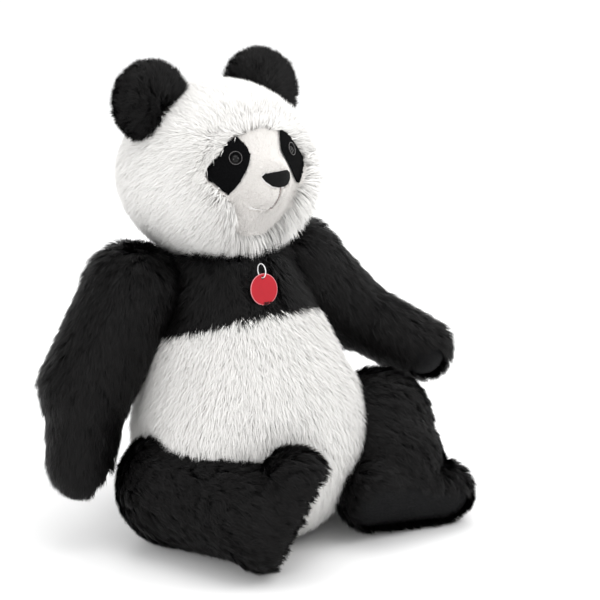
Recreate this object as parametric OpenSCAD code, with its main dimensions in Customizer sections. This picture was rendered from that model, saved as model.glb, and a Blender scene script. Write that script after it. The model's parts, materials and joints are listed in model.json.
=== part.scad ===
// A large plush panda that sits on the floor, built as its sewn and stuffed parts.
// Its front faces -Y, its right hand is on the -X side, and the floor is z = 0.
// Every cover is a set of panels sewn edge to edge over its own filling.

/* [Fabric] */
// Thickness of a cover panel: backing cloth with its pile laid flat
cover_t = 7; // [5:1:8]
// Thickness of the short black pile cut for the eye patches
felt_t = 1.6; // [1:0.1:2.5]
// Clearance between two parts that move against each other
body_gap = 0.8; // [0.6:0.1:1.2]
// Radius of the doubled seam thread round a neck, arm or leg
thread_r = 1.6; // [1:0.1:1.8]

/* [Torso] */
// Radius of the belly
belly_r = 147; // [143:1:150]
// Front to back place of the belly's centre
belly_y = -54; // [-58:1:-50]
// Height of the belly's centre, which leaves a flat seat below it
belly_z = 132; // [130:1:136]
// Radius of the chest
chest_r = 90; // [87:1:92]
// Front to back place of the chest's centre
chest_y = 10; // [7:1:13]
// Height of the chest's centre
chest_z = 315; // [311:1:318]
// Height to which the seat panel wraps up
seat_h = 26; // [20:1:32]
// Front to back place of the side seams
side_y = 12; // [4:1:20]
// Fall towards the back of the arched seam where the white belly meets the black chest, in degrees
arch_fall = 20; // [15:1:24]
// Front to back place of that arched seam in the middle of the front
arch_y = -95; // [-105:1:-85]
// Height of that arched seam in the middle of the front
arch_top = 298; // [290:1:304]

/* [Neck] */
// Radius of the stuffed neck
neck_r = 60; // [56:1:62]
// Sideways place of the neck's turning centre
neck_x = 4; // [2:1:6]
// Front to back place of the neck's turning centre
neck_y = 24; // [22:1:26]
// Height of the neck's turning centre
neck_z = 350; // [348:1:352]
// How far the head is able to nod each way, in degrees
nod_max = 8; // [4:1:9]

/* [Head] */
// Half width of the head
head_a = 122; // [120:1:124]
// Half height of the head
head_b = 110; // [108:1:112]
// Height of the head's centre above the neck's centre
head_rise = 116; // [114:1:118]
// Half width of the sunken face
face_a = 106; // [104:1:107]
// Half height of the sunken face
face_b = 104; // [102:1:105]
// How far the face looks to the panda's left, in degrees
head_turn = 6; // [0:1:10]
// Width of the strip that runs over the crown
gusset_w = 76; // [64:1:84]
// Sideways place of each eye from the middle of the face
eye_x = 44; // [42:1:46]
// Height of the eyes above the head's centre
eye_z = 31; // [29:1:33]
// Radius of an eye's dome
eye_r = 7.2; // [6:0.1:8]
// Radius of an eye's shank
shank_r = 2; // [1.5:0.1:2.5]
// Length of an eye's shank
shank_l = 17; // [14:1:20]
// Radius of the washer that locks an eye
washer_r = 10; // [8:1:12]
// Thickness of that washer
washer_t = 2; // [1.5:0.1:3]

/* [Muzzle] */
// Radius of the muzzle at the cheeks
muzzle_r = 44; // [42:1:46]
// Distance of that part in front of the head's centre
muzzle_y = 50; // [48:1:53]
// Height of that part from the head's centre
muzzle_z = -28; // [-31:1:-25]
// Radius of the snout under the nose
snout_r = 34; // [32:1:36]
// Distance of the snout's centre in front of the head's centre
snout_y = 94; // [92:1:97]
// Height of the snout's centre from the head's centre
snout_z = -2; // [-4:1:0]
// Thickness of the woven nose
nose_t = 2.4; // [1.5:0.1:3]
// Width of the stitched mouth line
stitch_w = 1.8; // [1.2:0.1:2.4]

/* [Ears] */
// Radius of an ear
ear_r = 40; // [36:1:42]
// Thickness of an ear
ear_t = 30; // [26:1:32]
// Angle of an ear out from the top of the head, in degrees
ear_lean = 43; // [40:1:46]
// Angle of an ear back from the top of the head, in degrees
ear_back = 11; // [8:1:14]
// Distance of an ear's folding line from the head's centre
ear_root = 121; // [120:1:122]
// Height of an ear's centre above its folding line
ear_rise = 9; // [6:1:12]
// Length of an ear's folding root
ear_len = 60; // [50:1:66]

/* [Right arm] */
// Sideways place of the right shoulder's centre
r_shoulder_x = -128; // [-130:1:-126]
// Front to back place of the right shoulder's centre
r_shoulder_y = 24; // [22:1:26]
// Height of the right shoulder's centre
r_shoulder_z = 322; // [320:1:324]
// Sideways place of the right elbow's centre
r_elbow_x = -205; // [-207:1:-203]
// Front to back place of the right elbow's centre
r_elbow_y = 10; // [8:1:12]
// Height of the right elbow's centre
r_elbow_z = 210; // [208:1:212]
// Sideways place of the right hand's centre
r_hand_x = -222; // [-224:1:-220]
// Front to back place of the right hand's centre
r_hand_y = 0; // [-2:1:2]
// Height of the right hand's centre
r_hand_z = 116; // [114:1:118]
// Radius of the right shoulder
r_shoulder_r = 56; // [55:1:57]
// Radius of the right upper arm at the elbow
r_elbow_r = 53; // [52:1:54]
// Radius of the right forearm at the elbow
r_fore_r = 48; // [47:1:49]
// Radius of the right hand
r_hand_r = 36; // [35:1:37]

/* [Left arm] */
// Sideways place of the left shoulder's centre
l_shoulder_x = 126; // [124:1:128]
// Front to back place of the left shoulder's centre
l_shoulder_y = 22; // [20:1:24]
// Height of the left shoulder's centre
l_shoulder_z = 322; // [320:1:324]
// Sideways place of the left elbow's centre
l_elbow_x = 200; // [198:1:202]
// Front to back place of the left elbow's centre
l_elbow_y = 0; // [-2:1:2]
// Height of the left elbow's centre
l_elbow_z = 250; // [248:1:252]
// Sideways place of the left hand's centre
l_hand_x = 280; // [278:1:282]
// Front to back place of the left hand's centre
l_hand_y = -60; // [-62:1:-58]
// Height of the left hand's centre
l_hand_z = 195; // [193:1:197]
// Radius of the left shoulder
l_shoulder_r = 56; // [55:1:57]
// Radius of the left upper arm at the elbow
l_elbow_r = 45; // [44:1:46]
// Radius of the left forearm at the elbow
l_fore_r = 41; // [40:1:42]
// Radius of the left hand
l_hand_r = 36; // [35:1:37]

/* [Right leg] */
// Sideways place of the right hip's centre
r_hip_x = -118; // [-120:1:-116]
// Front to back place of the right hip's centre
r_hip_y = -62; // [-64:1:-60]
// Height of the right hip's centre
r_hip_z = 78; // [76:1:80]
// Sideways place of the right knee's centre
r_knee_x = -106; // [-108:1:-104]
// Front to back place of the right knee's centre
r_knee_y = -122; // [-124:1:-120]
// Height of the right knee's centre
r_knee_z = 73; // [71:1:75]
// Sideways place of the right ankle's centre
r_ankle_x = -90; // [-92:1:-88]
// Front to back place of the right ankle's centre
r_ankle_y = -182; // [-184:1:-180]
// Height of the right ankle's centre
r_ankle_z = 76; // [74:1:78]
// Sideways place of the right heel's centre
r_heel_x = -50; // [-52:1:-48]
// Front to back place of the right heel's centre
r_heel_y = -230; // [-232:1:-228]
// Height of the right heel's centre
r_heel_z = 116; // [114:1:118]
// Sideways place of the right toe's centre
r_toe_x = -88; // [-90:1:-86]
// Front to back place of the right toe's centre
r_toe_y = -212; // [-214:1:-210]
// Height of the right toe's centre
r_toe_z = 58; // [56:1:60]
// Radius of the right hip
r_hip_r = 70; // [69:1:71]
// Radius of the right thigh at the knee
r_knee_r = 66; // [65:1:67]
// Radius of the right shin at the knee
r_shin_r = 62; // [61:1:63]
// Radius of the right ankle
r_ankle_r = 57; // [56:1:58]
// Radius of the right heel
r_heel_r = 41; // [40:1:42]
// Radius of the right toe end
r_toe_r = 43; // [42:1:44]

/* [Left leg] */
// Sideways place of the left hip's centre
l_hip_x = 126; // [124:1:128]
// Front to back place of the left hip's centre
l_hip_y = -62; // [-64:1:-60]
// Height of the left hip's centre
l_hip_z = 78; // [76:1:80]
// Sideways place of the left knee's centre
l_knee_x = 160; // [158:1:162]
// Front to back place of the left knee's centre
l_knee_y = -122; // [-124:1:-120]
// Height of the left knee's centre
l_knee_z = 126; // [124:1:128]
// Sideways place of the left ankle's centre
l_ankle_x = 152; // [150:1:154]
// Front to back place of the left ankle's centre
l_ankle_y = -168; // [-170:1:-166]
// Height of the left ankle's centre
l_ankle_z = 92; // [90:1:94]
// Sideways place of the left heel's centre
l_heel_x = 100; // [98:1:102]
// Front to back place of the left heel's centre
l_heel_y = -196; // [-198:1:-194]
// Height of the left heel's centre
l_heel_z = 62; // [60:1:64]
// Sideways place of the left toe's centre
l_toe_x = 206; // [204:1:208]
// Front to back place of the left toe's centre
l_toe_y = -202; // [-204:1:-200]
// Height of the left toe's centre
l_toe_z = 44; // [42:1:46]
// Radius of the left hip
l_hip_r = 70; // [69:1:71]
// Radius of the left thigh at the knee
l_knee_r = 66; // [65:1:67]
// Radius of the left shin at the knee
l_shin_r = 63; // [62:1:64]
// Radius of the left ankle
l_ankle_r = 58; // [57:1:59]
// Radius of the left heel
l_heel_r = 44; // [43:1:45]
// Radius of the left toe end
l_toe_r = 36; // [35:1:37]

/* [Feet and hands] */
// Distance of the flat sole from the middle of the foot
sole_in = 27; // [24:1:30]
// Thickness of the smooth sole pad
sole_t = 6; // [4:1:7]
// Radius of the smooth palm pad
palm_r = 27; // [24:1:29]

/* [Tag] */
// Radius of the round hang tag
tag_r = 20; // [18:1:22]
// Thickness of the tag's card
tag_t = 1.2; // [0.8:0.1:1.6]
// Sideways place of the tag's centre
tag_x = -6; // [-8:1:-4]
// Front to back place of the tag's centre
tag_y = -99; // [-101:1:-97]
// Height of the tag's centre
tag_z = 331; // [329:1:333]
// Radius of the hole for the loop
tag_hole_r = 2.2; // [2:0.1:2.5]
// How far the tag leans back at its top, in degrees
tag_tilt = 12; // [8:1:16]
// Radius of the plastic loop
loop_r = 9; // [8:1:10]
// Radius of the loop's thread
loop_wire_r = 0.7; // [0.5:0.1:0.9]

/* [Hidden] */

right = 0;
left = 1;
side_x = 140;            // where the sides of the torso are pressed flat under the arms
big = 700;               // longer than any part
arc_n = 9;               // steps in the rounded rim of an ear
white = [0.93, 0.92, 0.90];
black = [0.07, 0.07, 0.08];
wool = [0.85, 0.84, 0.80];

belly = [0, belly_y, belly_z];
chest = [0, chest_y, chest_z];
neck = [neck_x, neck_y, neck_z];
head_c = neck + [0, 0, head_rise];
// Joints of the limbs, right then left
shoulder = [[r_shoulder_x, r_shoulder_y, r_shoulder_z], [l_shoulder_x, l_shoulder_y, l_shoulder_z]];
elbow = [[r_elbow_x, r_elbow_y, r_elbow_z], [l_elbow_x, l_elbow_y, l_elbow_z]];
hand = [[r_hand_x, r_hand_y, r_hand_z], [l_hand_x, l_hand_y, l_hand_z]];
shoulder_r = [r_shoulder_r, l_shoulder_r];
elbow_r = [r_elbow_r, l_elbow_r];
fore_r = [r_fore_r, l_fore_r];
hand_r = [r_hand_r, l_hand_r];
hip = [[r_hip_x, r_hip_y, r_hip_z], [l_hip_x, l_hip_y, l_hip_z]];
knee = [[r_knee_x, r_knee_y, r_knee_z], [l_knee_x, l_knee_y, l_knee_z]];
ankle = [[r_ankle_x, r_ankle_y, r_ankle_z], [l_ankle_x, l_ankle_y, l_ankle_z]];
heel = [[r_heel_x, r_heel_y, r_heel_z], [l_heel_x, l_heel_y, l_heel_z]];
toe = [[r_toe_x, r_toe_y, r_toe_z], [l_toe_x, l_toe_y, l_toe_z]];
hip_r = [r_hip_r, l_hip_r];
knee_r = [r_knee_r, l_knee_r];
shin_r = [r_shin_r, l_shin_r];
ankle_r = [r_ankle_r, l_ankle_r];
heel_r = [r_heel_r, l_heel_r];
toe_r = [r_toe_r, l_toe_r];
// Directions that the soles and the palms face
sole_dir = [[0.62, -0.72, -0.42], [-0.15, -0.88, -0.45]];
palm_dir = [[0.7, -0.35, -0.5], [-0.3, -0.85, -0.3]];
leg_turn = [0, 0];      // where the closing line of each leg's cover starts
foot_turn = [0, 0];      // the same for each foot
bent = [false, true];    // whether a leg bends at its knee
leg_play = 2;            // more room than the gap, for the leg's swing
filling_in = 4;          // how far the filling keeps back where a leg rests
armpit = [19, 10];       // how much wider than the shoulder the room for each arm is
outward = [-1, 1];       // sign of the sideways direction of each side
tag_c = [tag_x, tag_y, tag_z];

function unit(v) = v / norm(v);
function arc(c, r, from, to, n) =
  [for (i = [0:n]) let (a = from + (to - from) * i / n) c + r * [cos(a), sin(a)]];

// Turns the Z axis into the direction d
module along(d) {
  rotate([0, acos(d.z / norm(d)), atan2(d.y, d.x)]) children();
}

// Everything beyond point p in direction d
module beyond(p, d) {
  translate(p) along(d) translate([-big, -big, 0]) cube(2 * big);
}

// A stuffed form with round ends at p and q, whose closing line starts at the angle turn
module form(p, q, rp, rq, turn = 0) {
  d = q - p;
  l = norm(d);
  s = asin((rp - rq) / l);
  inside = 1;            // how far the slope lies inside the line that touches both balls
  translate(p) along(d) rotate([0, 0, turn]) rotate_extrude($fn = 96) intersection() {
    union() {
      circle(rp, $fn = 96);
      translate([0, l]) circle(rq, $fn = 96);
      polygon([[0, 0], (rp - inside) * [cos(s), sin(s)],
        [0, l] + (rq - inside) * [cos(s), sin(s)], [0, l]]);
    }
    translate([0, -2 * rp]) square([2 * rp, 4 * rp + 2 * l]);
  }
}

// A doubled sewing thread laid in a ring round the Z axis, just proud of a ball of radius r
module thread_ring(ball_r, ring_r) {
  reach = ball_r - thread_r + thread_r / 4;
  translate([0, 0, sqrt(reach * reach - ring_r * ring_r)])
    rotate_extrude($fn = 72) translate([ring_r, 0]) circle(thread_r, $fn = 24);
}

// ---- Torso ----

// The hollow in which the head turns and nods
module head_room() {
  nod_room = 14;
  translate(neck + [0, 0, head_rise + low_c]) sphere(low_r + nod_room, $fn = 144);
}

// The room that an arm needs as it swings about its shoulder
module arm_room(s) {
  translate(shoulder[s]) rotate([0, 90, 0]) sphere(shoulder_r[s] + armpit[s], $fn = 96);
}

// The room that a leg needs as it swings outward about its hip
module leg_room(s, more) {
  past = 50;             // how far the room runs on past the joint
  room = body_gap + leg_play + more;
  d = (bent[s] ? knee[s] : ankle[s]) - hip[s];
  translate(hip[s]) {
    rotate([0, 90, 0]) sphere(hip_r[s] + room + leg_play / 2, $fn = 96);
    along(d) cylinder(norm(d) + past, hip_r[s] + room, (bent[s] ? knee_r[s] : ankle_r[s]) + room,
      $fn = 96);
  }
}

// The dents that a resting shin and heel make in the belly's cover
module foot_dents(s) {
  past = 50;             // how far the dent runs on past the ankle
  room = body_gap + leg_play;
  shin = ankle[s] - knee[s];
  if (bent[s])
    translate(knee[s]) along(shin)
      cylinder(norm(shin) + past, shin_r[s] + room, ankle_r[s] + room, $fn = 96);
  translate(heel[s]) rotate([0, 90, 0]) sphere(heel_r[s] + room, $fn = 96);
}

// Cuts the floor, the flat sides under the arms and the room for the moving parts
module torso_trim(more = 0) {
  difference() {
    children();
    translate([-big, -big, -2 * big]) cube(2 * big);
    for (x = [side_x, -side_x - 2 * big])
      translate([x, -big, -big]) cube(2 * big);
    head_room();
    translate(neck) sphere(neck_r + body_gap, $fn = 96);
    for (s = [right, left]) {
      arm_room(s);
      leg_room(s, more);
    }
  }
}

module torso_form(g) {
  form(belly, chest, belly_r - g, chest_r - g, 45);
}

// The seat is as thick as the rest of the cover
module torso_cover() {
  torso_trim() difference() {
    torso_form(0);
    difference() {
      torso_form(cover_t);
      translate([-big, -big, cover_t - 2 * big]) cube(2 * big);
    }
    for (s = [right, left])
      foot_dents(s);
  }
}

// The white side of the seam across the front. The seam runs in a plane that falls towards the
// back, so that from the front it is an arch.
module below_arch() {
  beyond([0, arch_y, arch_top], [0, -sin(arch_fall), -cos(arch_fall)]);
}

module front_half() {
  translate([-big, side_y - 2 * big, seat_h]) cube(2 * big);
}

// Each half of the white belly runs from the centre seam to a side seam
module belly_panel(s) {
  color(white) intersection() {
    torso_cover();
    translate([s == right ? -2 * big : 0, side_y - 2 * big, seat_h]) cube(2 * big);
    below_arch();
  }
}

module chest_panel() {
  color(black) difference() {
    intersection() {
      torso_cover();
      front_half();
    }
    below_arch();
  }
}

module back_panel(s) {
  color(black) intersection() {
    torso_cover();
    translate([s == right ? -2 * big : 0, side_y, seat_h]) cube(2 * big);
  }
}

module seat_panel() {
  color(white) intersection() {
    torso_cover();
    translate([-big, -big, 0]) cube([2 * big, 2 * big, seat_h]);
  }
}

module torso_filling() {
  color(wool) torso_trim(filling_in) difference() {
    torso_form(cover_t);
    translate([-big, -big, cover_t - 2 * big]) cube(2 * big);
  }
}

// ---- Neck ----

module neck_seam() {
  color([0.9, 0.9, 0.9]) translate(neck) rotate_extrude($fn = 72)
    translate([neck_r - thread_r + thread_r / 4, 0]) circle(thread_r, $fn = 24);
}

module neck_filling() {
  color(wool) difference() {
    translate(neck) sphere(neck_r, $fn = 96);
    neck_seam();
  }
}

// ---- Head ----

// The rounded head, wider than it is high: round caps above and below a fuller rim
function cap_r(a, b, rim) = (pow(a - rim, 2) + b * b - rim * rim) / (2 * (b - rim));
head_pile = 14;          // thickness of the head's cover with its long pile
root_r = 13;             // radius of the roll that an ear folds about
head_rim = 80;
face_rim = 90;
low_r = cap_r(head_a, head_b, head_rim);
low_c = low_r - head_b;

module oval(a, b, rim, g) {
  r = cap_r(a, b, rim);
  swell = 0.1;           // lets the rim cross the caps instead of just touching them
  reach = (a - rim) * r / (r - rim);
  rotate_extrude($fn = 96) intersection() {
    union() {
      intersection() {
        translate([0, b - r]) circle(r - g, $fn = 144);
        translate([0, r - b]) circle(r - g, $fn = 144);
        translate([0, -b]) square([reach * (r - g) / r, 2 * b]);
      }
      translate([a - rim, 0]) circle(rim - g + swell, $fn = 144);
    }
    translate([0, -b]) square([2 * a, 2 * b]);
  }
}

module head_oval(g) {
  oval(head_a, head_b, head_rim, g);
}

module face_oval(g) {
  oval(face_a, face_b, face_rim, g);
}

module on_head() {
  translate(head_c) rotate([0, 0, head_turn]) children();
}

// A shape drawn on the front of the head, x across and z up
module front_shape(points, from = 0) {
  translate([0, -from, 0]) rotate([90, 0, 0]) linear_extrude(2 * head_a) polygon(points);
}

half_opening = [[30, 84], [52, 76], [68, 54], [88, 24], [82, 4], [62, -14], [56, -30], [52, -55],
  [36, -80]];
function mirrored(points) =
  concat(points, [for (i = [len(points) - 1:-1:0]) [-points[i].x, points[i].y]]);
// The short pile face lies inside this outline
module opening() {
  front_shape(mirrored(half_opening));
}

module muzzle(g) {
  form([0, -muzzle_y, muzzle_z], [0, -snout_y, snout_z], muzzle_r - g, snout_r - g, muzzle_turn);
}
muzzle_turn = 100;       // where the muzzle's closing line starts

module neck_socket() {
  translate([0, 0, -head_rise]) sphere(neck_r + body_gap, $fn = 96);
}

// The frame of an ear: Z runs out of the head, X along the fold
module on_ear(s) {
  rotate([-ear_back, 0, 0]) rotate([0, ear_lean * outward[s], 0]) children();
}

module ear_groove(s) {
  on_ear(s) translate([-ear_len / 2 - body_gap, 0, ear_root]) rotate([0, 90, 0])
    cylinder(ear_len + 2 * body_gap, root_r + body_gap, root_r + body_gap, $fn = 48);
}

// The point on the face where an eye sits, and the way it looks
face_rho = face_a * sqrt(1 - pow(eye_z / face_b, 2));
function eye_at(s) = [outward[s] * eye_x, -sqrt(face_rho * face_rho - eye_x * eye_x), eye_z];
function eye_dir(s) = let (p = eye_at(s)) unit([p.x, p.y, eye_z * pow(face_a / face_b, 2)]);

module shank(s) {
  translate(eye_at(s) - shank_l * eye_dir(s)) along(eye_dir(s))
    cylinder(shank_l + 2 * felt_t, shank_r, shank_r, $fn = 32);
}

module washer_disc(s) {
  depth = cover_t + 3;
  translate(eye_at(s) - depth * eye_dir(s)) along(eye_dir(s))
    cylinder(washer_t, washer_r, washer_r, $fn = 48);
}

// Cuts the room for the neck and the ears
module head_trim() {
  difference() {
    children();
    neck_socket();
    for (s = [right, left])
      ear_groove(s);
  }
}

module head_stuffing() {
  head_trim() difference() {
    head_oval(head_pile);
    difference() {
      opening();
      face_oval(cover_t);
    }
  }
}

// The long pile cover with the hole for the face
module head_cover() {
  head_trim() difference() {
    head_oval(0);
    head_oval(head_pile);
    opening();
  }
}

module gusset_box() {
  translate([-gusset_w / 2, -big, -big]) cube([gusset_w, 2 * big, 2 * big]);
}

module chin_box() {
  translate([-gusset_w / 2, -big, -big]) cube([gusset_w, big, big]);
}

module head_side(s) {
  color(white) on_head() difference() {
    head_cover();
    translate([s == right ? -gusset_w / 2 : gusset_w / 2 - 2 * big, -big, -big])
      cube(2 * big);
  }
}

module head_gusset() {
  color(white) on_head() difference() {
    intersection() {
      head_cover();
      gusset_box();
    }
    chin_box();
  }
}

module chin_panel() {
  color(white) on_head() intersection() {
    head_cover();
    chin_box();
  }
}

module face_panel() {
  color(white) on_head() difference() {
    intersection() {
      face_oval(0);
      opening();
    }
    face_oval(cover_t);
    muzzle(0);
    for (s = [right, left])
      shank(s);
  }
}

// The muzzle is a pad stuffed by itself, sewn into the opening of the face
module muzzle_pad() {
  color(white) on_head() difference() {
    muzzle(0);
    face_oval(cover_t);
  }
}

half_patch = [[34, 55], [28, 46], [25, 35], [31, 21], [44, 2], [55, -11], [63, -10], [74, 1],
  [80, 15], [69, 24], [58, 35], [47, 48]];

module eye_patch(s) {
  color(black) on_head() difference() {
    intersection() {
      face_oval(-felt_t);
      mirror([s == right ? 1 : 0, 0, 0]) front_shape(half_patch);
    }
    face_oval(0);
    muzzle(0);
    shank(s);
  }
}

module eye(s) {
  color([0.02, 0.02, 0.02]) on_head() {
    difference() {
      translate(eye_at(s)) sphere(eye_r, $fn = 64);
      face_oval(-felt_t);
    }
    shank(s);
  }
}

module eye_washer(s) {
  color([0.9, 0.9, 0.88]) on_head() difference() {
    washer_disc(s);
    shank(s);
  }
}

half_nose = [[7, 15], [17, 14], [22, 10], [19, 4], [12, -2], [5, -4]];

module nose() {
  color([0.05, 0.05, 0.05]) on_head() intersection() {
    difference() {
      muzzle(-nose_t);
      muzzle(0);
    }
    nose_area();
  }
}

// The outline of a line of width w through the given heights at even steps across
function smile(w) = let (n = 8, half = 30, rise = 8, low = -36)
  concat([for (i = [-n:n]) [half * i / n, low + rise * pow(i / n, 2) - w / 2]],
    [for (i = [n:-1:-n]) [half * i / n, low + rise * pow(i / n, 2) + w / 2]]);

module mouth_stitch() {
  proud = 0.8;
  crease_low = -36;
  color([0.72, 0.66, 0.62]) on_head() difference() {
    intersection() {
      difference() {
        muzzle(-proud);
        muzzle(0);
      }
      union() {
        front_shape(smile(stitch_w));
        translate([-stitch_w / 2, -2 * head_a, crease_low])
          cube([stitch_w, 2 * head_a, snout_z - crease_low]);
      }
    }
    nose_area();
    face_oval(0);
  }
}

module nose_area() {
  front_shape(mirrored(half_nose), snout_y);
}

module head_filling() {
  color(wool) on_head() difference() {
    head_stuffing();
    for (s = [right, left]) {
      shank(s);
      washer_disc(s);
    }
  }
}

// ---- Ears ----

module ear_disc() {
  rim = ear_t / 2;
  outline = concat([[0, -rim]], arc([ear_r - rim, 0], rim, -90, 90, 2 * arc_n), [[0, rim]]);
  intersection() {
    translate([0, 0, ear_root + ear_rise]) rotate([90, 0, 0])
      rotate_extrude($fn = 72) polygon(outline);
    translate([-big, -big, ear_root]) cube(2 * big);
  }
}

module ear_fold_roll() {
  translate([-ear_len / 2, 0, ear_root]) rotate([0, 90, 0])
    cylinder(ear_len, root_r, root_r, $fn = 48);
}

module ear_front(s) {
  color(black) on_head() on_ear(s) difference() {
    ear_disc();
    translate([-big, 0, -big]) cube(2 * big);
    ear_fold_roll();
  }
}

module ear_back_half(s) {
  color(black) on_head() on_ear(s) difference() {
    union() {
      ear_disc();
      ear_fold_roll();
    }
    difference() {
      translate([-big, -2 * big, -big]) cube(2 * big);
      ear_fold_roll();
    }
  }
}

// ---- Arms ----

module arm_solid(s, g) {
  form(shoulder[s], elbow[s], shoulder_r[s] - g, elbow_r[s] - g);
  form(elbow[s], hand[s], fore_r[s] - g, hand_r[s] - g);
}

module arm_cover(s) {
  difference() {
    arm_solid(s, 0);
    arm_solid(s, cover_t);
    shoulder_seam(s);
  }
}

module palm_area(s) {
  beyond(hand[s] + sqrt(hand_r[s] * hand_r[s] - palm_r * palm_r) * unit(palm_dir[s]), palm_dir[s]);
}

module shoulder_seam(s) {
  ring = 40;
  color([0.1, 0.1, 0.1]) translate(shoulder[s]) rotate([0, -90 * outward[s], 0])
    thread_ring(shoulder_r[s], ring);
}

// The forearm begins at the crease of the elbow
module forearm_area(s) {
  beyond(elbow[s], hand[s] - elbow[s]);
}

module upper_arm_cover(s) {
  color(black) difference() {
    arm_cover(s);
    forearm_area(s);
  }
}

module forearm_cover(s) {
  color(black) difference() {
    intersection() {
      arm_cover(s);
      forearm_area(s);
    }
    palm_area(s);
  }
}

module palm_pad(s) {
  color([0.04, 0.04, 0.05]) intersection() {
    arm_cover(s);
    palm_area(s);
  }
}

module arm_filling(s) {
  color(wool) arm_solid(s, cover_t);
}

// ---- Legs ----

function foot_c(s) = (heel[s] + toe[s]) / 2;

module leg_solid(s, g) {
  if (bent[s]) {
    form(hip[s], knee[s], hip_r[s] - g, knee_r[s] - g, leg_turn[s]);
    form(knee[s], ankle[s], shin_r[s] - g, ankle_r[s] - g, leg_turn[s]);
  } else {
    form(hip[s], ankle[s], hip_r[s] - g, ankle_r[s] - g, leg_turn[s]);
  }
  form(heel[s], toe[s], heel_r[s] - g, toe_r[s] - g, foot_turn[s]);
}

// Everything that lies further out than depth d from the middle of the foot
module past_sole(s, d) {
  n = unit(sole_dir[s]);
  beyond(foot_c(s) + d * n, n);
}

module leg_shell(s) {
  difference() {
    leg_solid(s, 0);
    leg_solid(s, cover_t);
    past_sole(s, sole_in - sole_t);
    hip_seam(s);
  }
}

module foot_area(s) {
  beyond(ankle[s], ankle[s] - (bent[s] ? knee[s] : hip[s]));
}

module hip_seam(s) {
  ring = 40;
  color([0.1, 0.1, 0.1]) translate(hip[s]) thread_ring(hip_r[s], ring);
}

module leg_cover(s) {
  color(black) difference() {
    leg_shell(s);
    foot_area(s);
  }
}

module foot_cover(s) {
  color(black) intersection() {
    leg_shell(s);
    foot_area(s);
  }
}

module sole_pad(s) {
  color([0.04, 0.04, 0.05]) difference() {
    intersection() {
      leg_solid(s, 0);
      past_sole(s, sole_in - sole_t);
    }
    past_sole(s, sole_in);
  }
}

module leg_filling(s) {
  color(wool) difference() {
    leg_solid(s, cover_t);
    past_sole(s, sole_in - sole_t);
  }
}

// ---- Tag ----

hole_in = 5;             // distance of the hole from the tag's edge

module on_tag() {
  translate(tag_c) rotate([90 - tag_tilt, 0, 0]) children();
}

module hang_tag() {
  color([0.75, 0.03, 0.12]) on_tag() difference() {
    cylinder(tag_t, tag_r, tag_r, $fn = 96);
    translate([0, tag_r - hole_in, -tag_t]) cylinder(3 * tag_t, tag_hole_r, tag_hole_r, $fn = 32);
  }
}

module tag_loop() {
  color([0.95, 0.95, 0.95]) on_tag() translate([0, tag_r - hole_in + loop_r, tag_t / 2])
    rotate([0, 90, 0]) rotate_extrude($fn = 72) translate([loop_r, 0])
      circle(loop_wire_r, $fn = 24);
}

belly_panel(right);  // belly_panel_right
belly_panel(left);  // belly_panel_left
chest_panel();
back_panel(right);  // back_panel_right
back_panel(left);  // back_panel_left
seat_panel();
torso_filling();
neck_filling();
neck_seam();
head_side(right);  // head_side_right
head_side(left);  // head_side_left
head_gusset();
chin_panel();
face_panel();
muzzle_pad();
eye_patch(right);  // eye_patch_right
eye_patch(left);  // eye_patch_left
eye(right);  // eye_right
eye(left);  // eye_left
eye_washer(right);  // eye_washer_right
eye_washer(left);  // eye_washer_left
nose();
mouth_stitch();
head_filling();
ear_front(right);  // ear_front_right
ear_back_half(right);  // ear_back_right
ear_front(left);  // ear_front_left
ear_back_half(left);  // ear_back_left
upper_arm_cover(right);  // upper_arm_cover_right
forearm_cover(right);  // forearm_cover_right
palm_pad(right);  // palm_pad_right
arm_filling(right);  // arm_filling_right
shoulder_seam(right);  // shoulder_seam_right
upper_arm_cover(left);  // upper_arm_cover_left
forearm_cover(left);  // forearm_cover_left
palm_pad(left);  // palm_pad_left
arm_filling(left);  // arm_filling_left
shoulder_seam(left);  // shoulder_seam_left
leg_cover(right);  // leg_cover_right
foot_cover(right);  // foot_cover_right
sole_pad(right);  // sole_pad_right
leg_filling(right);  // leg_filling_right
hip_seam(right);  // hip_seam_right
leg_cover(left);  // leg_cover_left
foot_cover(left);  // foot_cover_left
sole_pad(left);  // sole_pad_left
leg_filling(left);  // leg_filling_left
hip_seam(left);  // hip_seam_left
hang_tag();
tag_loop();
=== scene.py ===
import json
import math

import bpy
import numpy as np
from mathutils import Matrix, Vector
from mathutils.bvhtree import BVHTree
from mathutils.kdtree import KDTree


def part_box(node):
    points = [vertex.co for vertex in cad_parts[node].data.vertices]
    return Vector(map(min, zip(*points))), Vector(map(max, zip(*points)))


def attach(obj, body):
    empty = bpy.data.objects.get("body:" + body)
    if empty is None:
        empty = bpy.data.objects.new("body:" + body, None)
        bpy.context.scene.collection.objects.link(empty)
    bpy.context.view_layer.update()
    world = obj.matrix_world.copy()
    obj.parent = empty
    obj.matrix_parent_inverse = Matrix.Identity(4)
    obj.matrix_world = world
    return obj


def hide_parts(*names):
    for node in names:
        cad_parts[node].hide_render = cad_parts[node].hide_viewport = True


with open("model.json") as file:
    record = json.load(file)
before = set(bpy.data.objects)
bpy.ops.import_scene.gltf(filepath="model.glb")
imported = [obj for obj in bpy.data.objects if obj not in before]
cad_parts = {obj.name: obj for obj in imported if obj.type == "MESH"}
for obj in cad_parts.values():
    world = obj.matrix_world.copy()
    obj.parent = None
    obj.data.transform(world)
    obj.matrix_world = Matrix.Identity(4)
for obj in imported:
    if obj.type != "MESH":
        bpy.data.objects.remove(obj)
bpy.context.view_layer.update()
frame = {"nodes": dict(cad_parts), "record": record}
rng = np.random.default_rng(7)
NODES = frame["nodes"]
JOINTS = {j["name"]: j for j in frame["record"]["behaviour"]["joints"]}

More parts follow.
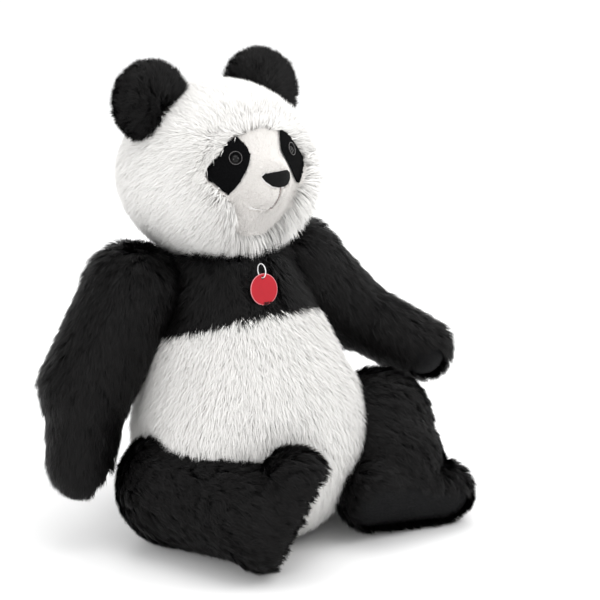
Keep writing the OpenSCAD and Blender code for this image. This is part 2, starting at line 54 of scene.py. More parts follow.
NECK = np.array(JOINTS["neck_turn"]["pos_m"])
HEAD = np.array([NECK[0], NECK[1], NECK[2] + 0.116])      # the middle of the head
TURN = math.radians(6)                                     # the face looks a little to its left
FACE_DIR = np.array([math.sin(TURN), -math.cos(TURN), 0.0])
FACE_SIDE = np.array([math.cos(TURN), math.sin(TURN), 0.0])
DOWN = np.array([0.0, 0.0, -1.0])


def unit(v):
    v = np.asarray(v, float)
    return v / np.maximum(np.linalg.norm(v, axis=-1, keepdims=True), 1e-9)


# ---------------------------------------------------------------- meshes

def mesh_arrays(me):
    co = np.empty(len(me.vertices) * 3)
    me.vertices.foreach_get("co", co)
    me.calc_loop_triangles()
    tri = np.empty(len(me.loop_triangles) * 3, np.int32)
    me.loop_triangles.foreach_get("vertices", tri)
    return co.reshape(-1, 3), tri.reshape(-1, 3)


def vertex_normals(co, tri):
    n = np.cross(co[tri[:, 1]] - co[tri[:, 0]], co[tri[:, 2]] - co[tri[:, 0]])
    out = np.zeros_like(co)
    for k in range(3):
        np.add.at(out, tri[:, k], n)
    return unit(out)


def outer_skin(name, nodes, voxel=0.005):
    """One closed skin round several CAD nodes, which is the shape that the sewn cover has."""
    co, tri, base = [], [], 0
    for n in nodes:
        c, t = mesh_arrays(NODES[n].data)
        co.append(c)
        tri.append(t + base)
        base += len(c)
    co, tri = np.vstack(co), np.vstack(tri)
    me = bpy.data.meshes.new(name)
    me.from_pydata(co.tolist(), [], tri.tolist())
    ob = bpy.data.objects.new(name, me)
    bpy.context.scene.collection.objects.link(ob)
    mod = ob.modifiers.new("remesh", "REMESH")
    mod.mode = "VOXEL"
    mod.voxel_size = voxel
    mod.adaptivity = 0
    apply_modifiers(ob)
    keep_largest(ob)
    mod = ob.modifiers.new("smooth", "SMOOTH")
    mod.factor = 0.5
    mod.iterations = 4
    apply_modifiers(ob)
    return ob


def apply_modifiers(ob):
    deps = bpy.context.evaluated_depsgraph_get()
    deps.update()
    me = bpy.data.meshes.new_from_object(ob.evaluated_get(deps))
    old = ob.data
    ob.modifiers.clear()
    ob.data = me
    bpy.data.meshes.remove(old)


def keep_largest(ob):
    """Leaves the outermost shell only."""
    co, tri = mesh_arrays(ob.data)
    label = np.arange(len(co))
    edges = np.vstack([tri[:, [0, 1]], tri[:, [1, 2]]])
    while True:
        low = np.minimum(label[edges[:, 0]], label[edges[:, 1]])
        before = label.copy()
        np.minimum.at(label, edges[:, 0], low)
        np.minimum.at(label, edges[:, 1], low)
        label = label[label]
        if (before == label).all():
            break
    ids, count = np.unique(label, return_counts=True)
    if len(ids) == 1:
        return
    best = ids[np.argmax(count)]
    keep = label[tri[:, 0]] == best
    used = np.unique(tri[keep])
    index = np.full(len(co), -1)
    index[used] = np.arange(len(used))
    me = bpy.data.meshes.new(ob.name)
    me.from_pydata(co[used].tolist(), [], index[tri[keep]].tolist())
    old = ob.data
    ob.data = me
    bpy.data.meshes.remove(old)


def nearest_node(points, nodes):
    """For each point, which of the CAD nodes is nearest."""
    best = np.full(len(points), 1e9)
    which = np.zeros(len(points), np.int32)
    for k, n in enumerate(nodes):
        co, tri = mesh_arrays(NODES[n].data)
        tree = BVHTree.FromPolygons(co.tolist(), tri.tolist())
        for i, p in enumerate(points):
            d = tree.find_nearest(p)[3]
            if d is not None and d < best[i]:
                best[i], which[i] = d, k
    return which


def pad(ob, panels, puff=4.0, frames=20):
    """Blows the cover up between its seams, as the filling does, with the seams held."""
    co, tri = mesh_arrays(ob.data)
    which = nearest_node(co, panels)
    edges = np.vstack([tri[:, [0, 1]], tri[:, [1, 2]], tri[:, [2, 0]]])
    cross = which[edges[:, 0]] != which[edges[:, 1]]
    seam = np.zeros(len(co))
    seam[np.unique(edges[cross])] = 1
    group = ob.vertex_groups.new(name="seam")
    for w, ids in ((1.0, np.flatnonzero(seam)), (0.06, np.flatnonzero(seam == 0))):
        group.add(ids.tolist(), w, "REPLACE")
    mod = ob.modifiers.new("cloth", "CLOTH")
    s = mod.settings
    s.quality = 4
    s.mass = 0.3
    s.tension_stiffness = s.compression_stiffness = 12
    s.shear_stiffness = 8
    s.bending_stiffness = 2
    s.use_pressure = True
    s.uniform_pressure_force = puff
    s.effector_weights.gravity = 0
    s.vertex_group_mass = "seam"
    s.pin_stiffness = 1
    mod.collision_settings.use_collision = False
    mod.collision_settings.use_self_collision = False
    scene = bpy.context.scene
    mod.point_cache.frame_start, mod.point_cache.frame_end = 1, frames
    for f in range(1, frames + 1):
        scene.frame_set(f)
    deps = bpy.context.evaluated_depsgraph_get()
    me = bpy.data.meshes.new_from_object(ob.evaluated_get(deps))
    new = np.empty(len(me.vertices) * 3)
    me.vertices.foreach_get("co", new)
    new = new.reshape(-1, 3)
    step = new - co
    size = np.linalg.norm(step, axis=1, keepdims=True)
    step *= np.minimum(1, 0.006 / np.maximum(size, 1e-9))
    ob.modifiers.clear()
    bpy.data.meshes.remove(me)
    ob.data.vertices.foreach_set("co", (co + np.nan_to_num(step)).ravel())
    scene.frame_set(1)


# ---------------------------------------------------------------- materials

def material(name):
    m = bpy.data.materials.new(name)
    m.use_nodes = True
    t = m.node_tree
    b = t.nodes["Principled BSDF"]
    return m, t, b


def ramp(t, stops, x):
    r = t.nodes.new("ShaderNodeValToRGB")
    while len(r.color_ramp.elements) < len(stops):
        r.color_ramp.elements.new(0.5)
    for e, (p, c) in zip(r.color_ramp.elements, stops):
        e.position, e.color = p, (*c, 1)
    t.links.new(x, r.inputs[0])
    return r.outputs[0]


def hair_material(name, root, mid, tip, spread=0.25, rough=0.75, sheen=0.3, spec=0.25):
    """Pile coloured along each tuft from root to tip, darker at the root as painted shade deep in the pile,
    with tufts that differ a little.
    """
    m, t, b = material(name)
    uv = t.nodes.new("ShaderNodeUVMap")
    uv.uv_map = "OFBake"
    sep = t.nodes.new("ShaderNodeSeparateXYZ")
    t.links.new(uv.outputs[0], sep.inputs[0])
    # the colour darkens towards the root: painted shade deep in the pile
    along = ramp(t, [(0.0, root), (0.45, mid), (1.0, tip)], sep.outputs[1])
    white = t.nodes.new("ShaderNodeTexWhiteNoise")
    white.noise_dimensions = "1D"
    step = t.nodes.new("ShaderNodeMath")
    step.operation = "MULTIPLY"
    step.inputs[1].default_value = 256
    t.links.new(sep.outputs[0], step.inputs[0])
    whole = t.nodes.new("ShaderNodeMath")
    whole.operation = "FLOOR"
    t.links.new(step.outputs[0], whole.inputs[0])
    t.links.new(whole.outputs[0], white.inputs["W"])
    gain = t.nodes.new("ShaderNodeMapRange")
    gain.inputs["To Min"].default_value = 1 - spread
    gain.inputs["To Max"].default_value = 1 + spread
    t.links.new(white.outputs["Value"], gain.inputs["Value"])
    mix = t.nodes.new("ShaderNodeVectorMath")
    mix.operation = "SCALE"
    t.links.new(along, mix.inputs[0])
    t.links.new(gain.outputs[0], mix.inputs["Scale"])
    t.links.new(mix.outputs[0], b.inputs["Base Color"])
    b.inputs["Roughness"].default_value = rough
    b.inputs["Specular IOR Level"].default_value = spec
    b.inputs["Sheen Weight"].default_value = sheen
    b.inputs["Sheen Roughness"].default_value = 0.5
    return m


def cloth_material(name, dark, light, scale, rough=0.9, bump=0.3, sheen=0.3, spec=0.2,
                   weave=False):
    """Backing cloth or short pile: fine grain in colour and height."""
    m, t, b = material(name)
    co = t.nodes.new("ShaderNodeTexCoord")
    noise = t.nodes.new("ShaderNodeTexNoise")
    noise.inputs["Scale"].default_value = scale
    noise.inputs["Detail"].default_value = 6
    t.links.new(co.outputs["Object"], noise.inputs["Vector"])
    height = noise.outputs["Fac"]
    if weave:
        wave = t.nodes.new("ShaderNodeTexWave")
        wave.inputs["Scale"].default_value = scale
        wave.inputs["Distortion"].default_value = 1.5
        t.links.new(co.outputs["Object"], wave.inputs["Vector"])
        height = wave.outputs["Fac"]
    colour = ramp(t, [(0.3, dark), (0.7, light)], height)
    t.links.new(colour, b.inputs["Base Color"])
    bm = t.nodes.new("ShaderNodeBump")
    bm.inputs["Strength"].default_value = bump
    bm.inputs["Distance"].default_value = 0.001
    t.links.new(height, bm.inputs["Height"])
    t.links.new(bm.outputs[0], b.inputs["Normal"])
    b.inputs["Roughness"].default_value = rough
    b.inputs["Specular IOR Level"].default_value = spec
    b.inputs["Sheen Weight"].default_value = sheen
    return m


def gloss_material(name, colour, rough, coat=0.5, spec=0.5, speck=0.04):
    m, t, b = material(name)
    co = t.nodes.new("ShaderNodeTexCoord")
    noise = t.nodes.new("ShaderNodeTexNoise")
    noise.inputs["Scale"].default_value = 60
    t.links.new(co.outputs["Object"], noise.inputs["Vector"])
    c = np.array(colour)
    t.links.new(ramp(t, [(0.3, tuple(c * (1 - speck))), (0.7, tuple(c * (1 + speck)))],
                     noise.outputs["Fac"]), b.inputs["Base Color"])
    b.inputs["Roughness"].default_value = rough
    b.inputs["Specular IOR Level"].default_value = spec
    b.inputs["Coat Weight"].default_value = coat
    b.inputs["Coat Roughness"].default_value = 0.06
    return m


# each pile's root colour is darker than its tip: painted shade deep in the pile
M_WHITE = hair_material("pile_white", (0.76, 0.745, 0.72), (0.88, 0.868, 0.845), (0.93, 0.922, 0.905),
                        spread=0.03, sheen=0.0, rough=0.9, spec=0.08)
M_BLACK = hair_material("pile_black", (0.0012, 0.0012, 0.0014), (0.003, 0.0029, 0.0031),
                        (0.008, 0.0074, 0.0074), spread=0.5, sheen=0.0, rough=0.4, spec=0.13)
M_FACE = hair_material("pile_face", (0.70, 0.655, 0.62), (0.82, 0.79, 0.76), (0.87, 0.85, 0.825),
                       spread=0.03, sheen=0.0, rough=0.9, spec=0.1)
M_PATCH = hair_material("pile_patch", (0.002, 0.002, 0.002), (0.003, 0.003, 0.0035),
                        (0.004, 0.004, 0.0045), spread=0.3, sheen=0.0, rough=0.8, spec=0.06)
M_PAD = hair_material("pile_pad", (0.002, 0.002, 0.0025), (0.0035, 0.0035, 0.004),
                      (0.007, 0.007, 0.008), spread=0.3, sheen=0.02, rough=0.6, spec=0.15)
M_SKIN_BLACK = cloth_material("backing_black", (0.002, 0.002, 0.0025), (0.005, 0.005, 0.006), 900,
                              sheen=0.0)
M_SKIN_WHITE = cloth_material("backing_white", (0.80, 0.785, 0.77), (0.88, 0.87, 0.86), 900)
M_EYE = gloss_material("eye_black", (0.002, 0.0018, 0.0018), 0.05, coat=0.25, spec=0.12)
# a rim lighter than the eye: painted highlight for the bright arc of light on the eye's edge
M_EYE_RIM_HIGHLIGHT = gloss_material("eye_rim_highlight", (0.035, 0.032, 0.032), 0.25)
M_NOSE = cloth_material("nose_yarn", (0.001, 0.001, 0.001), (0.009, 0.009, 0.010), 420, rough=0.7,
                        bump=0.8, sheen=0.0, spec=0.12, weave=True)
M_STITCH = cloth_material("mouth_thread", (0.20, 0.16, 0.15), (0.36, 0.30, 0.28), 1500, weave=True)
M_TAG = gloss_material("tag_red", (0.40, 0.004, 0.014), 0.15, coat=0.25, spec=0.3)
M_TAG_RIM = gloss_material("tag_rim", (0.62, 0.20, 0.22), 0.3, coat=0.2, spec=0.3)
M_LOOP = gloss_material("tag_nylon", (0.85, 0.85, 0.85), 0.35, coat=0.2)


# ---------------------------------------------------------------- fur

def sample(co, tri, count, weight=None):
    a, b, c = co[tri[:, 0]], co[tri[:, 1]], co[tri[:, 2]]
    area = np.linalg.norm(np.cross(b - a, c - a), axis=1)
    if weight is not None:
        area = area * weight
    pick = rng.choice(len(tri), count, p=area / area.sum())
    u, v = rng.random((2, count))
    flip = u + v > 1
    u[flip], v[flip] = 1 - u[flip], 1 - v[flip]
    return pick, np.stack([1 - u - v, u, v], 1)


def fur(name, co, tri, nrm, weight, count, length, width, comb, lift, mat, body,
        clump=0.011, pull=0.5, wave=0.15, segments=3, keep=None, jitter=0.35, settle=0.5):
    """Tapered tufts of pile standing on a skin. length, lift and comb are functions of the root."""
    pick, bary = sample(co, tri, count, weight)
    t3 = tri[pick]
    root = (co[t3] * bary[:, :, None]).sum(1)
    n = unit((nrm[t3] * bary[:, :, None]).sum(1))
    if keep is not None:
        ok = keep(root, n)
        root, n = root[ok], n[ok]
    k = len(root)
    d = comb(root, n)
    d = d - n * (d * n).sum(1, keepdims=True)
    d = unit(d + rng.normal(0, jitter, (k, 3)))
    d = unit(d - n * (d * n).sum(1, keepdims=True))
    L = length(root) * rng.uniform(0.75, 1.15, k)
    up = lift(root) * rng.uniform(0.8, 1.2, k)
    # where each tuft would end, then drawn towards the middle of its clump
    def at(s):
        rise = up * L * (s - settle * s * s / 2)
        out = L * np.sqrt(np.maximum(1 - (up * 0.8) ** 2, 0.15)) * (0.35 * s + 0.65 * s * s)
        return root + n * rise[:, None] + d * out[:, None]
    tip = at(1.0)
    if clump > 0:
        spots = rng.permutation(k)[: max(10, int(surface_area(co, tri, weight) / clump ** 2))]
        tree = KDTree(len(spots))
        for i, s in enumerate(spots):
            tree.insert(root[s], i)
        tree.balance()
        own = np.fromiter((tree.find(p)[1] for p in root), np.int64, k)
        centre = spots[own]
        offset = tip[centre] - tip
        reach = np.linalg.norm(root[centre] - root, axis=1, keepdims=True)
        offset = offset * (reach < 2.2 * clump)
        tint = rng.random(len(spots))[own]
    else:
        offset = np.zeros_like(root)
        tint = rng.random(k)
    side = np.cross(n, d)
    phase = rng.uniform(0, 6.28, k)
    W = width * rng.uniform(0.7, 1.3, k)
    steps = np.linspace(0, 1, segments + 1)
    verts, norms = [], []
    shade = unit(n * 0.8 + d * 0.15 + rng.normal(0, 0.16, (k, 3)))
    for s in steps:
        p = at(s) + offset * (pull * s ** 1.5)
        p = p + side * (np.sin(phase + 4 * s) * L * wave * s * 0.5)[:, None]
        p[:, 2] = np.maximum(p[:, 2], 0.0006)              # the pile lies on the floor
        w = W * (1 - s ** 1.6) * 0.5
        if s < 1:
            verts += [p - side * w[:, None], p + side * w[:, None]]
            norms += [unit(shade - side * 0.35), unit(shade + side * 0.35)]
        else:
            verts.append(p)
            norms.append(shade)
    per = len(verts)
    V = np.stack(verts, 1).reshape(-1, 3)
    N = np.stack(norms, 1).reshape(-1, 3)
    rows = []
    for i in range(segments - 1):
        a = 2 * i
        rows += [[a, a + 1, a + 3], [a, a + 3, a + 2]]
    a = 2 * (segments - 1)
    rows.append([a, a + 1, a + 2])
    rows = np.array(rows)
    F = (rows[None] + (np.arange(k) * per)[:, None, None]).reshape(-1, 3)
    # the flat of each tuft faces out of the skin
    fn = np.cross(V[F[0, 1]] - V[F[0, 0]], V[F[0, 2]] - V[F[0, 0]])
    if fn @ n[0] < 0:
        F = F[:, ::-1]
    level = np.repeat(steps, 2)[:per]
    u = (tint * 0.8 + rng.random(k) * 0.2)
    UV = np.stack([np.repeat(u * 0.98 + 0.01, per), np.tile(level * 0.94 + 0.03, k)], 1)
    me = bpy.data.meshes.new(name)
    me.vertices.add(len(V))
    me.vertices.foreach_set("co", V.astype(np.float32).ravel())
    me.loops.add(len(F) * 3)
    me.loops.foreach_set("vertex_index", F.astype(np.int32).ravel())
    me.polygons.add(len(F))
    me.polygons.foreach_set("loop_start", np.arange(0, len(F) * 3, 3, dtype=np.int32))
    me.polygons.foreach_set("loop_total", np.full(len(F), 3, np.int32))
    me.update(calc_edges=True)
    layer = me.uv_layers.new(name="OFBake")
    layer.data.foreach_set("uv", UV[F.ravel()].astype(np.float32).ravel())
    me.polygons.foreach_set("use_smooth", np.ones(len(F), bool))
    me.normals_split_custom_set_from_vertices(N.tolist())
    me.materials.append(mat)
    ob = bpy.data.objects.new(name, me)
    bpy.context.scene.collection.objects.link(ob)
    return ob


def surface_area(co, tri, weight=None):
    a = np.linalg.norm(np.cross(co[tri[:, 1]] - co[tri[:, 0]], co[tri[:, 2]] - co[tri[:, 0]]), axis=1) / 2
    return float((a * (weight if weight is not None else 1)).sum())


def const(x):
    return lambda root: np.full(len(root), x)


ALL_SKINS = {}


def clear_of(others):
    """Leaves out roots that lie inside, or hard against, another part's skin."""
    trees = [BVHTree.FromPolygons(*[a.tolist() for a in mesh_arrays(ALL_SKINS[o].data)]) for o in others]
    def keep(root, n):
        ok = np.ones(len(root), bool)
        for i, p in enumerate(root + n * 0.004):
            v = Vector(p)
            for tree in trees:
                q, qn, _, dist = tree.find_nearest(v, 0.05)
                if q is not None and (v - q).dot(qn) < 0.001:
                    ok[i] = False
                    break
        return ok
    return keep


def plain_material(ob, *mats):
    ob.data.materials.clear()
    for m in mats:
        ob.data.materials.append(m)


def place(ob, body, nodes=()):
    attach(ob, body)
    if nodes:
        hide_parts(*nodes)
    return ob


def smooth_shade(ob):
    ob.data.polygons.foreach_set("use_smooth", np.ones(len(ob.data.polygons), bool))


# ---------------------------------------------------------------- skins

TORSO = ["belly_panel_right", "belly_panel_left", "chest_panel", "back_panel_right",
         "back_panel_left", "seat_panel", "torso_filling"]
HEADS = ["head_side_right", "head_side_left", "head_gusset", "chin_panel", "face_panel",
         "muzzle_pad", "head_filling"]
skins = {
    "torso": (TORSO, TORSO[:-1]),
    "neck": (["neck_filling"], ["neck_filling"]),
    "head": (HEADS, HEADS[:6]),
}
for s in ("right", "left"):
    arm = ["upper_arm_cover_" + s, "forearm_cover_" + s, "palm_pad_" + s]
    leg = ["leg_cover_" + s, "foot_cover_" + s, "sole_pad_" + s]
    skins["arm_" + s] = (arm + ["arm_filling_" + s], arm)
    skins["leg_" + s] = (leg + ["leg_filling_" + s], leg)
    skins["ear_" + s] = (["ear_front_" + s, "ear_back_" + s],) * 2
panel_of = {}
for name, (nodes, panels) in skins.items():
    small = name.startswith(("ear", "neck"))
    ob = outer_skin(name + "_skin", nodes, 0.004 if small else 0.006)
    if not small:
        pad(ob, panels)
    ALL_SKINS[name] = ob
    co, tri = mesh_arrays(ob.data)
    panel_of[name] = nearest_node(co, panels)

geo = {}
for name, ob in ALL_SKINS.items():
    co, tri = mesh_arrays(ob.data)
    nrm = vertex_normals(co, tri)
    for _ in range(3):                                     # soften the normals that the pile follows
        acc = nrm.copy()
        for a, b in ((0, 1), (1, 2), (2, 0)):
            np.add.at(acc, tri[:, a], nrm[tri[:, b]])
            np.add.at(acc, tri[:, b], nrm[tri[:, a]])
        nrm = unit(acc)
    geo[name] = (co, tri, nrm)
    smooth_shade(ob)


def zone(name, *nodes):
    """Weight 1 on the triangles whose panel is one of the nodes."""
    panels = skins[name][1]
    ids = [panels.index(n) for n in nodes]
    _, tri, _ = geo[name]
    return np.isin(panel_of[name][tri], ids).sum(1) >= 2


SHARE = 1.0


def pieces_of(name, body, zone_weight, total, mat, slot_name, nodes, **kw):
    """A region's pile, in as many meshes as its size needs."""
    co, tri, nrm = geo[body if body in geo else name]
    tris_each = 2 * kw.get("segments", 3) - 1
    limit = int(190000 / tris_each)
    total = int(total * SHARE)
    parts = max(1, math.ceil(total / limit))
    out = []
    for i in range(parts):
        ob = fur(f"{name}_{i + 1}" if parts > 1 else name, co, tri, nrm, zone_weight.astype(float),
                 total // parts, mat=mat, body=body, **kw)
        out.append(ob)
    return out


def middle(node):
    a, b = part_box(node)
    return np.array((a + b) / 2)


# ---------------------------------------------------------------- torso

def torso_comb(root, n):
    away = unit(root - np.array([0, -0.02, 0.2])) * np.array([1, 0.6, 0])
    return DOWN + 0.25 * away


TAG = middle("hang_tag")


def torso_length(long):
    """The pile is short where it would hang over the tag."""
    def length(root):
        rel = root - TAG
        near = (np.abs(rel[:, 0]) < 0.027) & (rel[:, 2] > -0.024) & (rel[:, 2] < 0.058) & (root[:, 1] < 0)
        return np.where(near, 0.008, long)
    return length


clear_torso = clear_of(["head", "arm_right", "arm_left", "leg_right", "leg_left"])
white = zone("torso", "belly_panel_right", "belly_panel_left")
black = ~white
torso_skin = ALL_SKINS["torso"]
plain_material(torso_skin, M_SKIN_BLACK, M_SKIN_WHITE)
for poly in torso_skin.data.polygons:
    poly.material_index = int(panel_of["torso"][poly.vertices[0]] < 2)
place(torso_skin, "torso", TORSO)
for ob in pieces_of("belly_fur", "torso", white, 62000, M_WHITE, "white_pile", (),
                    length=torso_length(0.024), width=0.0017, comb=torso_comb, lift=const(0.62),
                    keep=clear_torso, clump=0.008, pull=0.22, jitter=0.25, wave=0.1):
    place(ob, "torso")
for ob in pieces_of("back_fur", "torso", black, 80000, M_BLACK, "black_pile", (),
                    length=torso_length(0.026), width=0.0019, comb=torso_comb, lift=const(0.55),
                    keep=clear_torso, clump=0.010, pull=0.5):
    place(ob, "torso")
neck_skin = ALL_SKINS["neck"]
plain_material(neck_skin, M_SKIN_BLACK)
place(neck_skin, "neck", ["neck_filling", "neck_seam"])

# ---------------------------------------------------------------- arms and legs

def limb_comb(a, b, down=0.6):
    axis = unit(np.array(b) - np.array(a))
    return lambda root, n: np.tile(axis + DOWN * down, (len(root), 1))


for s in ("right", "left"):
    shoulder = np.array(JOINTS["shoulder_" + s]["pos_m"])
    hip = np.array(JOINTS["hip_" + s]["pos_m"])
    arm, leg = "arm_" + s, "leg_" + s
    hand = middle("palm_pad_" + s)
    foot = middle("foot_cover_" + s)
    long_arm = ~zone(arm, "palm_pad_" + s)
    long_leg = ~zone(leg, "sole_pad_" + s)
    for name, panels, count in ((arm, long_arm, 62000), (leg, long_leg, 66000)):
        skin = ALL_SKINS[name]
        plain_material(skin, M_SKIN_BLACK)
        nodes = skins[name][0] + [("shoulder_seam_" if name == arm else "hip_seam_") + s]
        place(skin, name, nodes)
        keep = clear_of(["torso", "head"] if name == arm else ["torso"])
        comb = limb_comb(shoulder, hand) if name == arm else limb_comb(hip, foot, 0.3)
        for ob in pieces_of(name + "_fur", name, panels, count, M_BLACK, "black_pile", (),
                            length=const(0.027 if name == arm else 0.023), width=0.0021, comb=comb,
                            lift=const(0.55), keep=keep, clump=0.011, pull=0.5):
            place(ob, name)
        pad_zone = zone(name, ("palm_pad_" if name == arm else "sole_pad_") + s)
        for ob in pieces_of(name + "_pad_pile", name, pad_zone, 26000, M_PAD, "pad_velvet", (),
                            length=const(0.0045), width=0.0011, comb=comb, lift=const(0.7),
                            clump=0.0, segments=2, wave=0.05):
            place(ob, name)

# ---------------------------------------------------------------- head

EYES = {s: middle("eye_" + s) for s in ("right", "left")}
NOSE = middle("nose")


def head_comb(root, n):
    """Pile flows away from the face: back over the crown, down over the cheeks."""
    rel = root - HEAD
    side = (rel @ FACE_SIDE)[:, None]
    front = (rel @ FACE_DIR)[:, None]
    away = unit(root - (HEAD + FACE_DIR * 0.11 + np.array([0, 0, -0.01])))
    return away + DOWN * 0.75 * (rel[:, 2:3] < 0.06) + DOWN * 0.1


def head_length(root):
    """Shorter on the forehead, longest on the cheeks and under the chin."""
    rise = np.clip((root[:, 2] - HEAD[2] + 0.03) / 0.1, 0, 1)
    return 0.029 - 0.010 * rise


def head_lift(root):
    """The pile stands up where it borders the sunken face."""
    points, front = in_head(root)
    edge = np.hypot(points[:, 0] / 0.075, points[:, 1] / 0.08)
    return 0.55 + 0.3 * np.clip(1.5 - edge, 0, 0.5) / 0.5 * (front > 0.02)


def in_head(p):
    """Points as seen from the front of the head: distance to the side and height, in metres."""
    rel = p - HEAD
    return np.stack([rel @ FACE_SIDE, rel[..., 2]], -1), rel @ FACE_DIR


def inside(points, outline):
    """Which points lie inside a closed outline."""
    a = np.array(outline) / 1000
    hit = np.zeros(len(points), bool)
    for (x1, z1), (x2, z2) in zip(a, np.roll(a, -1, axis=0)):
        cross = (z1 > points[:, 1]) != (z2 > points[:, 1])
        with np.errstate(divide="ignore", invalid="ignore"):
            at = (x2 - x1) * (points[:, 1] - z1) / (z2 - z1) + x1
        hit ^= cross & (points[:, 0] < at)
    return hit


# half of the short-pile face, from the middle of the head outwards, in mm
HALF_FACE = [(0, 62), (16, 60), (32, 57), (46, 50), (60, 36), (83, 18), (78, 0), (64, -13),
             (53, -24), (50, -42), (38, -60), (20, -71), (0, -74)]
FACE_OUTLINE = HALF_FACE + [(-x, z) for x, z in HALF_FACE[::-1]]

head_co, head_tri, head_nrm = geo["head"]
mid_tri = head_co[head_tri].mean(1)
flat, front = in_head(mid_tri)
short_head = inside(flat, FACE_OUTLINE) & (front > 0.02)
long_head = ~short_head
head_skin = ALL_SKINS["head"]
plain_material(head_skin, M_SKIN_WHITE)
place(head_skin, "head", HEADS + ["eye_washer_right", "eye_washer_left"])
clear_head = clear_of(["neck"])
for ob in pieces_of("head_fur", "head", long_head, 95000, M_WHITE, "white_pile", (),
                    length=head_length, width=0.0017, comb=head_comb, lift=head_lift,
                    keep=clear_head, clump=0.008, pull=0.2, jitter=0.22, wave=0.1):
    place(ob, "head")


mouth_co, mouth_tri = mesh_arrays(NODES["mouth_stitch"].data)
nose_co, nose_tri = mesh_arrays(NODES["nose"].data)
SEWN = [BVHTree.FromPolygons(c.tolist(), t.tolist()) for c, t in ((mouth_co, mouth_tri), (nose_co, nose_tri))]


def clear_of_stitches(root, n):
    """The pile parts along the stitches and stops at the nose."""
    ok = np.ones(len(root), bool)
    for i, p in enumerate(root):
        ok[i] = all(t.find_nearest(p)[3] > 0.0022 for t in SEWN)
    return ok


def face_comb(root, n):
    return unit(root - (NOSE + np.array([0, 0.02, 0.0]))) + DOWN * 0.2


for ob in pieces_of("face_pile", "head", short_head, 60000, M_FACE, "white_short_pile", (),
                    length=const(0.005), width=0.0010, comb=face_comb, lift=const(0.55),
                    keep=clear_of_stitches, clump=0.0, segments=2, wave=0.05):
    place(ob, "head")

head_tree = BVHTree.FromPolygons(*[a.tolist() for a in geo["head"][:2]])


def on_face(node, lift_by):
    """A CAD node's front faces, laid on the head's own skin."""
    co, tri = mesh_arrays(NODES[node].data)
    n = np.cross(co[tri[:, 1]] - co[tri[:, 0]], co[tri[:, 2]] - co[tri[:, 0]])
    out = unit(co[tri].mean(1) - HEAD)
    tri = tri[(unit(n) * out).sum(1) > 0.35]
    used = np.unique(tri)
    index = np.full(len(co), -1)
    index[used] = np.arange(len(used))
    co, tri = co[used], index[tri]
    for i, p in enumerate(co):
        q, qn, _, _ = head_tree.find_nearest(Vector(p))
        co[i] = np.array(q) + np.array(qn) * lift_by
    return co, tri


for s in ("right", "left"):
    co, tri = on_face("eye_patch_" + s, 0.0035)
    nrm = vertex_normals(co, tri)
    nrm = unit(np.where((nrm * (co - HEAD)).sum(1, keepdims=True) < 0, -nrm, nrm))
    patch = fur("eye_patch_pile_" + s, co, tri, nrm, np.ones(len(tri)), int(16000 * SHARE),
                length=const(0.0042), width=0.0012, comb=face_comb, lift=const(0.6), mat=M_PATCH,
                body="head", clump=0.0, segments=2, wave=0.05)
    place(patch, "head", ["eye_patch_" + s])
    me = bpy.data.meshes.new("eye_patch_felt_" + s)
    me.from_pydata((co + nrm * 0.0008).tolist(), [], tri.tolist())
    felt = bpy.data.objects.new("eye_patch_felt_" + s, me)
    bpy.context.scene.collection.objects.link(felt)
    felt.data.materials.append(M_SKIN_BLACK)
    place(felt, "head")
    eye = NODES["eye_" + s]
    eye.data.materials.clear()
    eye.data.materials.append(M_EYE)
    smooth_shade(eye)

def ring(name, centre, axis, radius, tube, mat, body, squash=1.0):
    """A thin round bead."""
    axis = unit(axis)
    u = unit(np.cross(axis, [0.3, 0.2, 1.0]))
    v = np.cross(axis, u)
    a, b = np.meshgrid(np.arange(64) * math.tau / 64, np.arange(10) * math.tau / 10, indexing="ij")
    a, b = a.ravel()[:, None], b.ravel()[:, None]
    out = np.cos(a) * u + np.sin(a) * v
    co = centre + out * (radius + tube * np.cos(b)) + axis * tube * squash * np.sin(b)
    faces = []
    for i in range(64):
        for k in range(10):
            p, q = (i + 1) % 64, (k + 1) % 10
            faces.append((i * 10 + k, p * 10 + k, p * 10 + q, i * 10 + q))
    me = bpy.data.meshes.new(name)
    me.from_pydata(co.tolist(), [], faces)
    ob = bpy.data.objects.new(name, me)
    bpy.context.scene.collection.objects.link(ob)
    me.materials.append(mat)
    smooth_shade(ob)
    return place(ob, body)


# a lighter glossy bead round each eye: painted highlight for the arc of light on the eye's edge
for s in ("right", "left"):
    co, _ = mesh_arrays(NODES["eye_" + s].data)
    out = unit(EYES[s] - HEAD)
    top = co[np.argmax(co @ out)]
    near = co[np.abs((co - top) @ out) < 0.006]
    mid = near.mean(0)
    ring("eye_rim_highlight_" + s, mid + out * 0.0028, out, np.linalg.norm(near - mid, axis=1).max() - 0.0006,
         0.0006, M_EYE_RIM_HIGHLIGHT, "head")

for name, mat in (("nose", M_NOSE), ("mouth_stitch", M_STITCH)):
    ob = NODES[name]
    ob.data.materials.clear()
    ob.data.materials.append(mat)
    smooth_shade(ob)

# ---------------------------------------------------------------- ears

for s in ("right", "left"):
    name = "ear_" + s
    skin = ALL_SKINS[name]
    plain_material(skin, M_SKIN_BLACK)
    place(skin, name, skins[name][0])
    base = np.array(JOINTS["ear_fold_" + s]["pos_m"])
    comb = lambda root, n, base=base: unit(root - base)
    for ob in pieces_of(name + "_fur", name, np.ones(len(geo[name][1]), bool), 24000, M_BLACK,
                        "black_pile", (), length=const(0.021), width=0.0018, comb=comb,
                        lift=const(0.8), clump=0.005, pull=0.4, settle=0.2, jitter=0.3):
        place(ob, name)

# ---------------------------------------------------------------- tag

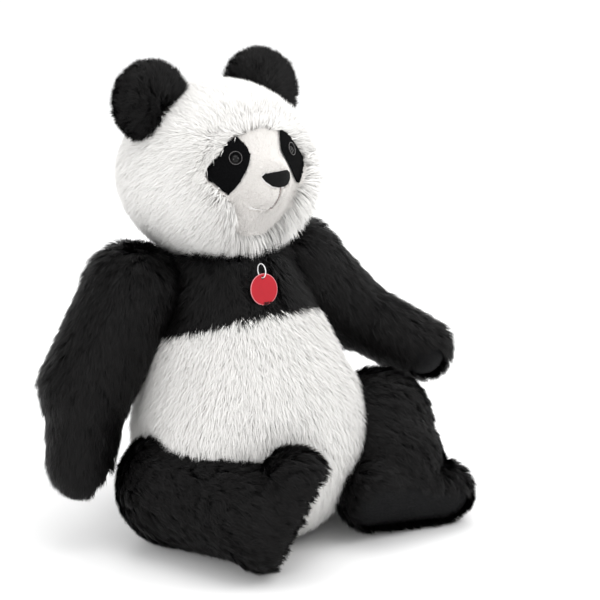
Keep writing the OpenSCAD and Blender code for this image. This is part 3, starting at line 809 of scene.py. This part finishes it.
tag = NODES["hang_tag"]
tag.data.materials.clear()
tag.data.materials.append(M_TAG)
tag_co, tag_tri = mesh_arrays(tag.data)
across = np.linalg.svd(tag_co - tag_co.mean(0), full_matrices=False)[2][2]
across = across * np.sign(-across[1])
disc = (tag_co.max(0) + tag_co.min(0)) / 2
ring("tag_rim", disc, across, 0.0197, 0.0007, M_TAG_RIM, "tag")
loop = NODES["tag_loop"]
loop.data.materials.clear()
loop.data.materials.append(M_LOOP)
smooth_shade(loop)

# ---------------------------------------------------------------- floor, light and camera

def sweep():
    """A pale floor that curves up into a wall far behind."""
    co, faces = [], []
    steps = [(-6, 0), (3.0, 0)]
    for i in range(1, 13):
        a = math.radians(90 * i / 12)
        steps.append((3.0 + 1.5 * math.sin(a), 1.5 - 1.5 * math.cos(a)))
    steps.append((4.5, 8))
    for y, z in steps:
        co += [(-9, y, z), (9, y, z)]
    for i in range(len(steps) - 1):
        a = 2 * i
        faces.append((a, a + 1, a + 3, a + 2))
    me = bpy.data.meshes.new("floor")
    me.from_pydata(co, [], faces)
    ob = bpy.data.objects.new("floor", me)
    bpy.context.scene.collection.objects.link(ob)
    ob.rotation_euler[2] = math.radians(-35)
    smooth_shade(ob)
    m, t, b = material("floor")
    b.inputs["Base Color"].default_value = (0.96, 0.96, 0.96, 1)
    b.inputs["Roughness"].default_value = 0.9
    b.inputs["Specular IOR Level"].default_value = 0.1
    ob.data.materials.append(m)


sweep()

AZ, EL = math.radians(-35), math.radians(15.5)
TARGET = Vector((0.1236, 0.0057, 0.2726))
BACK = Vector((math.sin(AZ) * math.cos(EL), -math.cos(AZ) * math.cos(EL), math.sin(EL)))
cam_data = bpy.data.cameras.new("camera")
cam_data.sensor_width = 36
cam_data.lens = 114.7
cam = bpy.data.objects.new("camera", cam_data)
bpy.context.scene.collection.objects.link(cam)
cam.location = TARGET + BACK * 2.6
cam.rotation_euler = BACK.to_track_quat("Z", "Y").to_euler()
bpy.context.scene.camera = cam


def area_light(name, where, size, power, target=(0.0, -0.05, 0.28)):
    data = bpy.data.lights.new(name, "AREA")
    data.size = size
    data.energy = power
    ob = bpy.data.objects.new(name, data)
    bpy.context.scene.collection.objects.link(ob)
    ob.location = where
    ob.rotation_euler = (Vector(where) - Vector(target)).to_track_quat("Z", "Y").to_euler()


area_light("top", (0.2, -0.3, 2.6), 2.2, 26)
area_light("front_left", (-2.4, -1.8, 1.5), 0.8, 20)
area_light("right", (2.0, -1.6, 1.6), 1.2, 18)
area_light("rim", (0.8, 2.2, 1.8), 1.2, 12)
world = bpy.data.worlds.new("studio")
bpy.context.scene.world = world
world.use_nodes = True
world.node_tree.nodes["Background"].inputs[0].default_value = (1, 1, 1, 1)
world.node_tree.nodes["Background"].inputs[1].default_value = 1.0
bpy.context.scene.view_settings.view_transform = "Standard"
